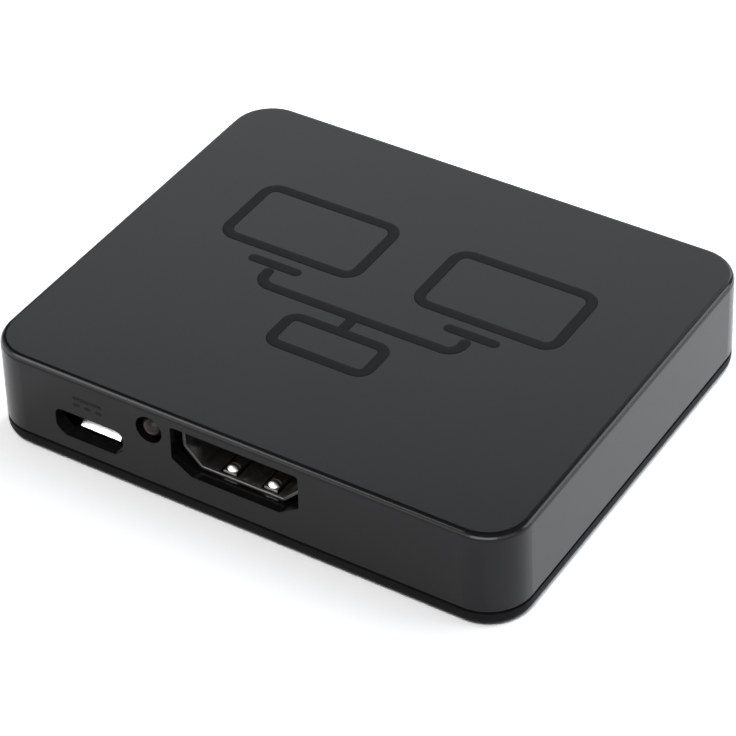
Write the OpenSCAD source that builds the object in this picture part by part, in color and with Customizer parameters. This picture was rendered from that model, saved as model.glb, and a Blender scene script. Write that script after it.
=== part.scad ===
// Video signal splitter: a flat moulded box with one video input, two video outputs and a power inlet.
// The front face, with the input, looks along -Y. The back face holds the outputs.
// The origin lies at the middle of the underside, and every size is in millimetres.

/* [Casing] */
// Width of the casing, left to right
body_w = 65; // [62:0.5:90]
// Depth of the casing, front to back
body_d = 54; // [50:0.5:80]
// Height of the casing
body_h = 12.2; // [12:0.1:20]
// Radius of the upright corners
corner_r = 5.2; // [3.6:0.1:8]
// Thickness of the side walls
wall = 1.6; // [1.2:0.1:2]
// Thickness of the top
roof = 1; // [0.8:0.1:1.2]
// How far each wall leans in between the seam and the top
wall_draft = 0.2; // [0.05:0.05:0.4]
// Rounding of the top edge
top_edge_r = 0.75; // [0.2:0.05:0.9]
// Rounding between the walls and the top, inside
inner_edge_r = 0.25; // [0.1:0.05:0.25]
// Rounding of the bottom edge
bottom_edge_r = 1.1; // [0.3:0.1:1.2]
// Height of the seam between the top shell and the bottom cover
seam_z = 2.2; // [2:0.1:2.6]
// Height of the shadow groove under the seam
seam_gap = 0.4; // [0.1:0.05:0.5]
// Thickness of the bottom cover's floor
floor_t = 1.3; // [1:0.1:1.4]

/* [Cover lip and clips] */
// Thickness of the lip that stands inside the walls
lip_t = 1; // [0.8:0.1:1.4]
// Clearance between the lip and the walls
lip_gap = 0.15; // [0.1:0.05:0.3]
// Height of the lip above the seam
lip_h = 0.8; // [0.4:0.1:1.1]
// Width of a clip
clip_w = 6; // [3:0.5:10]
// Distance between the two clips of a side
clip_pitch = 24; // [14:1:28]
// Height of a clip above the seam
clip_h = 3; // [2.4:0.1:4]
// How far a clip hooks into its wall
clip_hook = 0.6; // [0.4:0.05:0.9]
// Clearance of a clip's hook in its pocket
clip_gap = 0.15; // [0.1:0.05:0.25]
// Diameter of the posts under the circuit board
post_d = 3; // [2:0.1:4]
// Distance between the posts, left to right
post_pitch_x = 34; // [24:1:40]
// Distance between the posts, front to back
post_pitch_y = 14; // [8:1:20]

/* [Circuit board] */
// Thickness of the circuit board
board_t = 1.6; // [0.8:0.1:1.7]
// Clearance between the board's edge and the lip
board_gap = 0.3; // [0.2:0.05:0.8]
// Radius of the board's corners
board_r = 2; // [0.5:0.1:3]
// Distance from the board's edges to the screws
screw_inset = 3.6; // [3:0.1:4.2]
// Diameter of a screw's thread
screw_d = 2; // [1.6:0.1:2.4]
// Length of a screw under its head
screw_len = 6; // [5:0.1:7]
// Diameter of a screw's head
screw_head_d = 3.6; // [3:0.1:4.2]
// Height of a screw's head
screw_head_h = 1.2; // [0.8:0.1:1.3]
// Diameter of the flat on a screw's head
screw_face_d = 2.2; // [1.8:0.1:2.8]
// Width of the cross recess in a screw's head
recess_w = 0.45; // [0.3:0.05:0.6]
// Play between a screw and its holes, on the diameter
screw_play = 0.1; // [0.05:0.05:0.3]
// Diameter of a screw boss
boss_d = 4.6; // [4:0.1:5.4]
// Thickness of the ribs that brace a boss
rib_t = 0.9; // [0.6:0.1:1.2]
// Room between the board and the ribs
rib_gap = 1.2; // [0.8:0.1:3]

/* [Video sockets] */
// Outer width of a video socket's shell
video_w = 14.6; // [14.2:0.1:15.2]
// Outer height of a video socket's shell
video_h = 5.15; // [4.9:0.05:5.3]
// Outer width of the shell's narrow underside
video_base_w = 10.3; // [9.8:0.1:10.8]
// Height of the shell's slanted lower corners
video_slant_h = 2.2; // [1.9:0.1:2.4]
// Bend radius of the shell's corners
video_bend_r = 0.6; // [0.4:0.05:0.8]
// Length of the shell from mouth to back
video_len = 11.2; // [10.4:0.1:12]
// Thickness of the shell's sheet metal
video_sheet = 0.3; // [0.2:0.05:0.35]
// Height of the shell above the board
video_lift = 1.05; // [0.8:0.05:1.2]
// Room between a video socket and the top
video_headroom = 0.7; // [0.5:0.1:0.8]
// Clearance of the casing round a video socket, at its sides
video_gap_x = 0.6; // [0.3:0.05:0.8]
// Clearance of the casing round a video socket, above and below
video_gap_z = 0.3; // [0.15:0.05:0.4]
// Width of the cut-out's narrow underside, without its clearance
video_cut_base_w = 9.7; // [9.2:0.1:10.4]
// Height of the cut-out's slanted lower corners
video_cut_slant_h = 1.55; // [1.3:0.05:2]
// Corner radius of a video socket's cut-out
video_cut_r = 0.4; // [0.1:0.05:0.6]
// Depth of the video sockets' mouths behind the casing's faces
video_setback = 1.5; // [1:0.1:2.2]
// Width of the bevel inside a video socket's mouth
video_bevel = 0.07; // [0.05:0.01:0.2]
// Distance from a side of the casing to the middle of its output socket
output_inset = 18.5; // [16.5:0.1:21]
// Width of a spring finger
spring_w = 1.6; // [1.2:0.1:2]
// Length of a spring finger
spring_len = 4.6; // [3.6:0.1:5.2]
// Distance between the two spring fingers of a wall
spring_pitch = 5.1; // [4:0.1:5.6]
// Sideways shift of the spring fingers from the socket's middle
spring_shift = 0.6; // [0:0.1:0.8]
// Distance from the mouth to a spring finger's tip
spring_setback = 0.6; // [0.5:0.1:1.2]
// How far a spring finger rises into the socket
spring_rise = 0.15; // [0.1:0.05:0.4]
// Width of the slot round a spring finger
spring_slot = 0.3; // [0.2:0.05:0.4]
// Diameter of the round dimple near a spring finger's tip
dimple_d = 1.4; // [0.8:0.1:1.4]
// Height of the dimple
dimple_h = 0.45; // [0.15:0.01:0.45]
// Width of the contact tongue
tongue_w = 11; // [10.4:0.1:11.6]
// Thickness of the contact tongue
tongue_t = 1.65; // [1.4:0.05:1.8]
// Room between the tongue and the shell's upper wall
tongue_drop = 1.3; // [1.1:0.05:1.5]
// Distance from the mouth to the tongue
tongue_setback = 1.7; // [1.2:0.1:2.4]
// Depth of the insulator's block behind the tongue
insulator_len = 3; // [2:0.1:3.6]
// Play between the insulator and the shell
insulator_play = 0.05; // [0.02:0.01:0.1]
// Distance between contacts of one row
contact_pitch = 1; // [0.9:0.05:1.05]
// Width of a contact
contact_w = 0.3; // [0.2:0.02:0.36]
// Thickness of a contact
contact_t = 0.15; // [0.1:0.01:0.2]
// How far a contact stands proud of the tongue
contact_proud = 0.05; // [0.02:0.01:0.08]
// Room between the contacts and the shell's back flap
back_gap = 0.6; // [0.4:0.05:0.8]
// How far the solder tails reach out behind a socket
tail_out = 0.4; // [0.2:0.1:0.8]
// Width of a mounting leg
leg_w = 1.6; // [1:0.1:2]
// Distance from the mouth to the front legs
leg_front = 2.6; // [2.2:0.1:3.2]
// Distance from the mouth to the rear legs
leg_rear = 8; // [7:0.1:8.6]
// How far legs and leads reach out under the board
leg_out = 0.7; // [0.4:0.1:0.9]
// Play round legs and leads in the board
leg_play = 0.2; // [0.1:0.05:0.4]

/* [Power inlet] */
// Distance from the left side of the casing to the middle of the power inlet
power_inset = 13.9; // [13.3:0.1:14.6]
// Outer width of the inlet's shell
power_w = 7.5; // [7.2:0.1:7.8]
// Outer height of the inlet's shell
power_h = 2.45; // [2.3:0.05:2.7]
// Outer width of the shell's narrow underside
power_base_w = 6; // [5.6:0.1:6.4]
// Height of the shell's slanted lower corners
power_slant_h = 0.95; // [0.7:0.05:1.2]
// Bend radius of the shell's corners
power_bend_r = 0.4; // [0.3:0.05:0.5]
// Length of the shell behind its flared mouth
power_len = 4.6; // [4:0.1:5.4]
// Length of the flared mouth
flare_len = 0.7; // [0.4:0.05:1]
// How far the mouth flares outwards
flare_out = 0.5; // [0.3:0.05:0.6]
// Thickness of the inlet's sheet metal
power_sheet = 0.25; // [0.2:0.05:0.3]
// Height of the inlet's shell above the board
power_lift = 0.05; // [0.02:0.01:0.15]
// Clearance of the casing round the inlet's shell, at its sides
power_gap_x = 0.65; // [0.5:0.05:0.8]
// Clearance of the casing round the inlet's shell, above and below
power_gap_z = 0.45; // [0.4:0.05:0.6]
// Width of the inlet cut-out's narrow underside, without its clearance
power_cut_base_w = 5.3; // [5:0.1:6]
// Corner radius of the inlet's cut-out
power_cut_r = 0.9; // [0.3:0.05:1]
// Gap between the inside of the leaning wall and the inlet's mouth
power_mouth_gap = 0.1; // [0.05:0.05:0.4]
// Width of the inlet's tongue
power_tongue_w = 3.7; // [3.4:0.1:4]
// Thickness of the inlet's tongue
power_tongue_t = 0.6; // [0.5:0.05:0.7]
// Room between the inlet's tongue and its upper wall
power_tongue_drop = 0.55; // [0.4:0.05:0.7]
// Distance between the inlet's contacts
power_pitch = 0.65; // [0.6:0.01:0.7]
// Depth of the insulator's block behind the inlet's tongue
power_block_len = 1.6; // [1.2:0.1:2]

/* [Indicator] */
// How far the indicator lies right of the middle between the inlet's and the input's cut-outs
led_shift = 0.4; // [-0.2:0.05:0.8]
// Diameter of the indicator's lens
led_d = 2.9; // [2.6:0.1:3]
// Diameter of the lens's flange
led_flange_d = 3.4; // [3.1:0.1:3.6]
// Thickness of the lens's flange
led_flange_t = 1; // [0.6:0.1:1.2]
// Length of the lens, dome included
led_len = 4.8; // [4:0.1:5.6]
// Diameter of the hole in front of the lens
led_hole_d = 3.3; // [3.1:0.05:3.5]
// Depth of the lens's tip behind the front face
led_setback = 0.1; // [0:0.1:1.2]
// Room between the lens's flange and the top
led_headroom = 0.25; // [0.05:0.05:0.3]
// Thickness of a lead
lead_t = 0.5; // [0.4:0.05:0.6]
// Distance between the two leads
lead_pitch = 2.54; // [2:0.01:2.6]
// Bend radius of a lead, inside
lead_bend_r = 0.6; // [0.4:0.1:1]

/* [Board parts] */
// Side of the splitter chip's body
chip_w = 10; // [8:0.5:11]
// Thickness of a chip's body
chip_t = 1.4; // [1:0.1:1.6]
// Height of a chip's body above the board
chip_lift = 0.1; // [0.05:0.01:0.15]
// Distance between the splitter chip's leads
chip_pitch = 0.5; // [0.4:0.05:0.5]
// Leads on each side of the splitter chip
chip_leads = 16; // [8:1:16]
// Width of the splitter chip's leads
chip_lead_w = 0.2; // [0.14:0.02:0.24]
// Reach of a chip's leads
chip_reach = 1; // [0.8:0.1:1.3]
// Distance from a chip's body to the bend of its leads
chip_knee = 0.4; // [0.3:0.05:0.5]
// Thickness of a chip's leads
chip_lead_t = 0.15; // [0.1:0.01:0.2]
// Length of the control chip
control_l = 4.9; // [4.6:0.1:5.4]
// Width of the control chip
control_w = 3.9; // [3.6:0.1:4.2]
// Distance between the control chip's leads
control_pitch = 1.27; // [1.2:0.01:1.27]
// Distance from the board's right edge to the middle of the control chip
control_inset = 10.4; // [8:0.1:11]
// Width of the control chip's leads
control_lead_w = 0.42; // [0.3:0.02:0.5]
// Length of the voltage regulator
regulator_l = 6.5; // [6.2:0.1:7]
// Width of the voltage regulator
regulator_w = 3.5; // [3.2:0.1:3.8]
// Distance between the regulator's leads
regulator_pitch = 2.3; // [2:0.05:2.4]
// Width of the regulator's leads
regulator_lead_w = 0.7; // [0.6:0.05:0.9]
// Room between the power inlet's tails and the regulator's leads
regulator_gap = 3.6; // [2:0.1:4]
// Width of the regulator's cooling tab
regulator_tab_w = 3; // [2.6:0.1:3.2]
// Length of the crystal's can
crystal_l = 10.8; // [9:0.1:11.4]
// Width of the crystal's can
crystal_w = 4.2; // [3.6:0.1:4.6]
// Height of the crystal's can
crystal_h = 3.4; // [2.5:0.1:4]
// Length of a bulk capacitor
bulk_l = 3.5; // [3:0.1:4]
// Width of a bulk capacitor
bulk_w = 2.8; // [2.4:0.1:3.2]
// Height of a bulk capacitor
bulk_h = 1.9; // [1.5:0.1:2.4]
// Length of a small resistor or capacitor
small_l = 1.6; // [1:0.1:1.7]
// Width of a small resistor or capacitor
small_w = 0.8; // [0.5:0.1:0.9]
// Height of a resistor
resistor_h = 0.45; // [0.35:0.05:0.6]
// Height of a small capacitor
capacitor_h = 0.8; // [0.5:0.05:0.9]
// Share of a small part's length that each end cap takes up
cap_share = 0.22; // [0.15:0.01:0.3]
// Distance between neighbouring small parts
small_pitch = 1.3; // [1.2:0.05:1.4]
// Room between one row of parts and the next
part_gap = 0.7; // [0.4:0.05:1]
// Length of a surge protector
surge_l = 2.5; // [2:0.1:2.8]
// Width of a surge protector
surge_w = 1; // [0.8:0.1:1.2]
// Height of a surge protector
surge_h = 0.55; // [0.4:0.05:0.7]
// Distance between the two surge protectors of a socket
surge_pitch = 6; // [4:0.1:7]
// Room in front of and behind a surge protector
surge_gap = 1.1; // [0.6:0.1:1.4]

/* [Hidden] */
$fn = 64;

// How far a cutting tool reaches past the surface it cuts
past = 1;
// How far two fused forms of one moulding reach into each other
fuse = 0.3;

// Levels of the stack, from the top down
roof_z = body_h - roof;
board_top = roof_z - video_headroom - video_h - video_lift;
board_z = board_top - board_t;
rim_z = seam_z - seam_gap;
lip_top = seam_z + lip_h;
clip_top = seam_z + clip_h;
leg_end = -board_t - leg_out;

// Plan of the casing
shell_h = body_h - seam_z;
wall_slope = wall_draft / shell_h;
lip_inset = wall + lip_gap;
board_inset = lip_inset + lip_t + board_gap;
board_w = body_w - 2 * board_inset;
board_d = body_d - 2 * board_inset;
screw_x = board_w / 2 - screw_inset;
screw_y = board_d / 2 - screw_inset;
video_mouth_y = body_d / 2 - video_setback;
power_mouth_y = body_d / 2 - wall - wall_draft - power_mouth_gap;
output_x = body_w / 2 - output_inset;
power_x = body_w / 2 - power_inset;
wall_reach = wall + video_setback + past;
hole_d = screw_d + screw_play;

// Insides of a video socket, seen from its mouth
video_top = video_lift + video_h;
spring_root = spring_setback + spring_len;
tongue_top = video_top - video_sheet - tongue_drop;
tongue_base = tongue_top - tongue_t;
video_back = video_len - video_sheet - back_gap - contact_t;
video_tail = video_len + tail_out;
upper_contacts = 10;
lower_contacts = 9;
contact_span = (upper_contacts - 1) * contact_pitch + contact_w;

// Insides of the power inlet
power_top = power_lift + power_h;
power_end = flare_len + power_len;
power_tongue_top = power_top - power_sheet - power_tongue_drop;
power_tongue_base = power_tongue_top - power_tongue_t;
power_contacts = 5;
power_leg_y = power_end - power_block_len - leg_w;

// The indicator hangs under the top, so its leads reach down to the board
led_x = (power_x - power_w / 2 - power_gap_x + video_w / 2 + video_gap_x) / 2 - led_shift;
led_z = roof_z - led_headroom - led_flange_d / 2;
led_tip_y = led_setback - body_d / 2;
led_back_y = led_tip_y + led_len;
lead_y = led_back_y + lead_bend_r + lead_t;

// Places of the board's parts
surge_y = video_tail + surge_gap + surge_w / 2;
resistor_y = surge_y + surge_w / 2 + surge_gap + small_l / 2;
resistors_per_output = 6;
capacitors_per_side = 4;
capacitor_x = chip_w / 2 + chip_reach + part_gap + small_l / 2;
crystal_place = [capacitor_x + small_l / 2 + part_gap + crystal_l / 2, -chip_w / 2 - crystal_w / 2];
control_place = [board_w / 2 - control_inset, 0];
power_tail = power_end + contact_t + tail_out;
regulator_place = [-power_x, power_tail - power_mouth_y + regulator_gap + chip_reach + regulator_w / 2];
bulk_step = bulk_w + part_gap;
bulk_y = regulator_place.y + regulator_w / 2 + chip_reach + part_gap + bulk_w / 2;
bulk_places = [[-power_x, bulk_y], [-power_x, bulk_y + bulk_step]];

// Unit vector along v
function unit(v) = v / norm(v);

// Convex outline, counter-clockwise, with each corner rounded to radius r by an arc of steps
function rounded(pts, r, steps = 5) = [
    for (i = [0 : len(pts) - 1])
        let (
            p = pts[i],
            a = unit(pts[(i + len(pts) - 1) % len(pts)] - p),
            b = unit(pts[(i + 1) % len(pts)] - p),
            half = acos(a * b) / 2,
            centre = p + unit(a + b) * r / sin(half),
            from = p + a * r / tan(half) - centre,
            start = atan2(from.y, from.x),
            turn = (180 - 2 * half) / steps
        )
        for (k = [0 : steps])
            centre + r * [cos(start + turn * k), sin(start + turn * k)]
];

// Outline of a socket with slanted lower corners, widened by gap_x at each side and gap_z above and below
function socket_outline(w, h, base_w, slant_h, gap_x, gap_z) = [
    [base_w / 2 + gap_x, -gap_z],
    [w / 2 + gap_x, slant_h - gap_z],
    [w / 2 + gap_x, h + gap_z],
    [-w / 2 - gap_x, h + gap_z],
    [-w / 2 - gap_x, slant_h - gap_z],
    [-base_w / 2 - gap_x, -gap_z]
];

// Same outline drawn in by an even distance t, as for the inside of a sheet-metal shell
function inset_outline(w, h, base_w, slant_h, t) =
    let (slant = atan(slant_h / (w / 2 - base_w / 2)))
    [
        [base_w / 2 - t * tan(slant / 2), t],
        [w / 2 - t, slant_h + t * tan(45 - slant / 2)],
        [w / 2 - t, h - t],
        [t - w / 2, h - t],
        [t - w / 2, slant_h + t * tan(45 - slant / 2)],
        [t * tan(slant / 2) - base_w / 2, t]
    ];

// Stands a flat outline drawn in X and Z upright and carries it back from y = from to y = to
module along_y(from, to) {
    translate([0, to, 0])
        rotate([90, 0, 0])
            linear_extrude(to - from)
                children();
}

// Stands a flat outline drawn in Y and Z upright and widens it to w, centred on X
module across_x(w) {
    rotate([90, 0, 90])
        linear_extrude(w, center = true)
            children();
}

// Half of a moulded wall's section, from the axis of its corner: leaning side, rounded upper edge
module wall_section(r, h, lean, edge) {
    angle = atan(lean / h);
    arc_x = r - edge / cos(angle) - (h - edge) * tan(angle);
    arc_z = h - edge;
    polygon([
        [0, 0],
        [r, 0],
        [arc_x + edge * cos(angle), arc_z + edge * sin(angle)],
        [arc_x, arc_z],
        [arc_x, h],
        [0, h]
    ]);
    translate([arc_x, arc_z])
        circle(edge);
}

// Moulded block with leaning walls, round upright corners and a rounded upper edge
module moulded_block(w, d, h, r, lean, edge) {
    for (sx = [-1, 1], sy = [-1, 1])
        translate([sx * (w / 2 - r), sy * (d / 2 - r), 0])
            rotate(atan2(sy, sx) - 45)
                rotate_extrude(angle = 90)
                    wall_section(r, h, lean, edge);
    for (side = [0, 180])
        rotate(side)
            translate([0, d / 2 - r, 0])
                across_x(w - 2 * r)
                    wall_section(r, h, lean, edge);
    along_y(r - d / 2, d / 2 - r) {
        for (side = [0, 1])
            mirror([side, 0])
                translate([w / 2 - r, 0])
                    wall_section(r, h, lean, edge);
        translate([r - w / 2, 0])
            square([w - 2 * r, h]);
    }
}

// Plain upright block with round corners
module plain_block(w, d, h, r) {
    linear_extrude(h) {
        square([w - 2 * r, d], center = true);
        square([w, d - 2 * r], center = true);
        for (sx = [-1, 1], sy = [-1, 1])
            translate([sx * (w / 2 - r), sy * (d / 2 - r)])
                circle(r);
    }
}

// Copies its child to the four screw places
module at_screws() {
    for (sx = [-1, 1], sy = [-1, 1])
        translate([sx * screw_x, sy * screw_y, 0])
            children();
}

// Carries a socket's child from its own frame, mouth at y = 0 on the board, to its place
module at_input() {
    translate([0, -video_mouth_y, board_top])
        children();
}

module at_output(side) {
    translate([side * output_x, video_mouth_y, board_top])
        rotate(180)
            children();
}

module at_power() {
    translate([-power_x, -power_mouth_y, board_top])
        children();
}

module at_video_sockets() {
    at_input()
        children();
    for (side = [-1, 1])
        at_output(side)
            children();
}

// Section of a clip: an arm that springs up from the floor and a hook that faces out
module clip_section(foot_z) {
    arm_x = body_w / 2 - lip_inset;
    polygon([
        [arm_x - lip_t, foot_z],
        [arm_x, foot_z],
        [arm_x, clip_top - 3 * clip_hook],
        [arm_x + clip_hook, clip_top - 2 * clip_hook],
        [arm_x, clip_top],
        [arm_x - lip_t, clip_top]
    ]);
}

// Pocket in a side wall that takes a clip's hook
module clip_pocket() {
    pocket_x = body_w / 2 - wall - past;
    translate([pocket_x, -clip_w / 2 - clip_gap, clip_top - 3 * clip_hook - clip_gap])
        cube([
            past + clip_hook - lip_gap + clip_gap,
            clip_w + 2 * clip_gap,
            3 * clip_hook + 2 * clip_gap
        ]);
}

// Copies its child to the four clips
module at_clips() {
    for (side = [0, 180], sy = [-1, 1])
        rotate(side)
            translate([0, sy * clip_pitch / 2, 0])
                children();
}

// Hollow under the top shell, with its walls parallel to the outer ones
module shell_cavity() {
    foot_w = 2 * (wall_slope * past - wall);
    cavity_h = roof_z - seam_z + past;
    translate([0, 0, seam_z - past])
        moulded_block(
            body_w + foot_w, body_d + foot_w, cavity_h,
            corner_r + foot_w / 2, wall_slope * cavity_h, inner_edge_r
        );
}

// Screw boss that hangs from the top, braced to the two walls of its corner
module screw_boss(sx, sy) {
    reach_x = body_w / 2 - wall + fuse - screw_x;
    reach_y = body_d / 2 - wall + fuse - screw_y;
    rib_h = roof_z + fuse - board_top - rib_gap;
    translate([sx * screw_x, sy * screw_y, board_top]) {
        cylinder(d = boss_d, h = roof_z + fuse - board_top);
        translate([sx * reach_x / 2, 0, rib_gap + rib_h / 2])
            cube([reach_x, rib_t, rib_h], center = true);
        translate([0, sy * reach_y / 2, rib_gap + rib_h / 2])
            cube([rib_t, reach_y, rib_h], center = true);
    }
}

// Mouths that the casing's walls leave open for the sockets, in the sockets' own frame
module video_cutout() {
    along_y(-wall_reach, wall_reach)
        translate([0, video_lift])
            polygon(rounded(
                socket_outline(
                    video_w, video_h, video_cut_base_w, video_cut_slant_h, video_gap_x, video_gap_z
                ),
                video_cut_r
            ));
}

module power_cutout() {
    along_y(-wall_reach, past)
        translate([0, power_lift])
            polygon(rounded(
                socket_outline(
                    power_w, power_h, power_cut_base_w, power_slant_h, power_gap_x, power_gap_z
                ),
                power_cut_r
            ));
}

module top_shell() {
    color([0.1, 0.1, 0.105])
        difference() {
            union() {
                difference() {
                    translate([0, 0, seam_z])
                        moulded_block(body_w, body_d, shell_h, corner_r, wall_draft, top_edge_r);
                    shell_cavity();
                }
                for (sx = [-1, 1], sy = [-1, 1])
                    screw_boss(sx, sy);
            }
            at_screws()
                translate([0, 0, board_top - past])
                    cylinder(d = hole_d, h = screw_len - board_t + 2 * past);
            at_video_sockets()
                video_cutout();
            at_power()
                power_cutout();
            translate([-led_x, 0, led_z])
                along_y(-body_d / 2 - past, -body_d / 2 + wall + past)
                    circle(d = led_hole_d);
            at_clips()
                clip_pocket();
        }
}

module bottom_cover() {
    lip_w = body_w - 2 * lip_inset;
    lip_d = body_d - 2 * lip_inset;
    lip_r = corner_r - lip_inset;
    color([0.09, 0.09, 0.095]) {
        difference() {
            union() {
                translate([0, 0, rim_z])
                    mirror([0, 0, 1])
                        moulded_block(body_w, body_d, rim_z, corner_r, 0, bottom_edge_r);
                translate([0, 0, floor_t])
                    plain_block(lip_w, lip_d, lip_top - floor_t, lip_r);
            }
            translate([0, 0, floor_t])
                plain_block(lip_w - 2 * lip_t, lip_d - 2 * lip_t, lip_top, lip_r - lip_t);
        }
        at_clips()
            along_y(-clip_w / 2, clip_w / 2)
                clip_section(floor_t);
        for (sx = [-1, 1], sy = [-1, 1])
            translate([sx * post_pitch_x / 2, sy * post_pitch_y / 2, floor_t])
                cylinder(d = post_d, h = board_z - floor_t);
    }
}

module circuit_board() {
    color([0.04, 0.06, 0.05])
        difference() {
            translate([0, 0, board_z])
                plain_block(board_w, board_d, board_t, board_r);
            at_screws()
                translate([0, 0, board_z - past])
                    cylinder(d = hole_d, h = board_t + 2 * past);
            at_video_sockets()
                video_legs(leg_play);
            at_power()
                power_legs(leg_play);
            lead_places()
                translate([0, lead_y - lead_t / 2, board_z - past])
                    cylinder(d = lead_t * sqrt(2) + leg_play, h = board_t + 2 * past);
        }
}

module board_screws() {
    color([0.72, 0.72, 0.74])
        at_screws()
            translate([0, 0, board_z])
                difference() {
                    rotate_extrude()
                        polygon([
                            [0, -screw_head_h],
                            [screw_face_d / 2, -screw_head_h],
                            [screw_head_d / 2, -screw_head_h / 2],
                            [screw_head_d / 2, 0],
                            [screw_d / 2, 0],
                            [screw_d / 2, screw_len - screw_d],
                            [0, screw_len]
                        ]);
                    for (turn = [0, 90])
                        rotate(turn)
                            translate([0, 0, -screw_head_h])
                                cube([screw_face_d - recess_w, recess_w, screw_head_h], center = true);
                }
}

// Mounting legs that hang from a video socket's sides, widened by play for their slots in the board
module video_legs(play = 0) {
    for (sx = [-1, 1], y = [leg_front, leg_rear])
        translate([
            sx * (video_w - video_sheet) / 2 - (video_sheet + play) / 2,
            y - play / 2,
            leg_end - play
        ])
            cube([
                video_sheet + play,
                leg_w + play,
                video_lift + video_slant_h + video_bend_r - leg_end + play
            ]);
}

// Spring finger of a video socket, rising from its root to a crest and dipping at its tip:
// its height follows a sine over the angle arch, and the dimple sits on the crest
module spring_finger() {
    steps = 12;
    arch = 108;
    crest = spring_root - spring_len * 90 / arch;
    ball_r = (dimple_d * dimple_d / 4 + dimple_h * dimple_h) / (2 * dimple_h);
    lower = [
        for (k = [0 : steps])
            [spring_root - spring_len * k / steps, spring_rise * sin(arch * k / steps)]
    ];
    upper = [
        for (k = [steps : -1 : 0])
            [spring_root - spring_len * k / steps, spring_rise * sin(arch * k / steps) + video_sheet]
    ];
    across_x(spring_w)
        polygon(concat(lower, upper));
    translate([0, crest, spring_rise + video_sheet + dimple_h - ball_r])
        intersection() {
            sphere(ball_r);
            translate([-dimple_d, -dimple_d, ball_r - dimple_h - video_sheet / 2])
                cube([2 * dimple_d, 2 * dimple_d, 2 * dimple_h]);
        }
}

// Inside outline of a video socket's shell, drawn in by t from its outside
function video_inside(t) = rounded(
    inset_outline(video_w, video_h, video_base_w, video_slant_h, t),
    video_bend_r - t
);

// Tapered cutter that bevels the inside of a video socket's mouth
module mouth_bevel() {
    near = video_inside(video_sheet - 2 * video_bevel);
    far = video_inside(video_sheet + video_bevel / 2);
    count = len(near);
    polyhedron(
        points = concat(
            [for (p = near) [p.x, -video_bevel, p.y]],
            [for (p = far) [p.x, 1.5 * video_bevel, p.y]]
        ),
        faces = concat(
            [[for (i = [count - 1 : -1 : 0]) i], [for (i = [0 : count - 1]) count + i]],
            [for (i = [0 : count - 1]) [i, (i + 1) % count, count + (i + 1) % count, count + i]]
        )
    );
}

// Folded sheet-metal shell of a video socket: mouth, legs, back flap and four spring fingers
module video_shell() {
    outer = rounded(socket_outline(video_w, video_h, video_base_w, video_slant_h, 0, 0), video_bend_r);
    inner = video_inside(video_sheet);
    window_w = spring_w + 2 * spring_slot;
    flap_z = video_lift + video_slant_h;
    color([0.8, 0.8, 0.82]) {
        difference() {
            union() {
                translate([0, 0, video_lift])
                    along_y(0, video_len)
                        difference() {
                            polygon(outer);
                            polygon(inner);
                        }
                video_legs();
            }
            translate([0, 0, video_lift])
                mouth_bevel();
            for (sx = [-1, 1], z = [video_lift, video_top - video_sheet])
                translate([
                    spring_shift + sx * spring_pitch / 2 - window_w / 2,
                    spring_setback - spring_slot,
                    z - video_sheet
                ])
                    cube([window_w, spring_len + spring_slot, 3 * video_sheet]);
            translate([0, video_len, video_lift])
                cube(
                    [
                        contact_span + contact_pitch,
                        2 * (video_len - video_back + contact_w),
                        3 * video_sheet
                    ],
                    center = true
                );
        }
        intersection() {
            translate([0, 0, video_lift])
                along_y(video_len - video_sheet, video_len)
                    polygon(inner);
            translate([-video_w, 0, flap_z])
                cube([2 * video_w, 2 * video_len, video_h]);
        }
        for (sx = [-1, 1]) {
            translate([spring_shift + sx * spring_pitch / 2, 0, video_lift])
                spring_finger();
            translate([spring_shift + sx * spring_pitch / 2, 0, video_top])
                mirror([0, 0, 1])
                    spring_finger();
        }
    }
}

// Contact of a socket: a blade at height z, a drop behind the insulator and a tail on the board
module contact_strip(z, from, back, tail) {
    polygon([
        [from, z],
        [back, z],
        [back, 0],
        [tail, 0],
        [tail, contact_t],
        [back + contact_t, contact_t],
        [back + contact_t, z + contact_t],
        [from, z + contact_t]
    ]);
}

// Row of contacts, centred on X
module contact_row(count, pitch, z, from, back, tail) {
    for (k = [0 : count - 1])
        translate([(k - (count - 1) / 2) * pitch, 0, 0])
            across_x(contact_w)
                contact_strip(z, from, back, tail);
}

module video_contacts() {
    blade_start = tongue_setback + 2 * contact_w;
    contact_row(
        upper_contacts, contact_pitch, tongue_top + contact_proud - contact_t,
        blade_start, video_back, video_tail
    );
    contact_row(
        lower_contacts, contact_pitch, tongue_base - contact_proud,
        blade_start, video_back, video_tail
    );
}

// Insulator of a video socket: the block that closes its back and the tongue that carries the contacts
module video_insulator() {
    block_y = video_back - insulator_len;
    tip = tongue_t / 5;
    difference() {
        union() {
            translate([0, 0, video_lift])
                along_y(block_y, video_back)
                    polygon(video_inside(video_sheet + insulator_play));
            across_x(tongue_w)
                polygon([
                    [block_y + fuse, tongue_base],
                    [block_y + fuse, tongue_top],
                    [tongue_setback + tip, tongue_top],
                    [tongue_setback, tongue_top - tip],
                    [tongue_setback, tongue_base + tip],
                    [tongue_setback + tip, tongue_base]
                ]);
        }
        video_contacts();
    }
}

module input_socket_shell() {
    at_input()
        video_shell();
}

module input_socket_insulator() {
    color([0.07, 0.07, 0.07])
        at_input()
            video_insulator();
}

module input_socket_contacts() {
    color([0.85, 0.68, 0.3])
        at_input()
            video_contacts();
}

module output_1_socket_shell() {
    at_output(1)
        video_shell();
}

module output_1_socket_insulator() {
    color([0.07, 0.07, 0.07])
        at_output(1)
            video_insulator();
}

module output_1_socket_contacts() {
    color([0.85, 0.68, 0.3])
        at_output(1)
            video_contacts();
}

module output_2_socket_shell() {
    at_output(-1)
        video_shell();
}

module output_2_socket_insulator() {
    color([0.07, 0.07, 0.07])
        at_output(-1)
            video_insulator();
}

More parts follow.
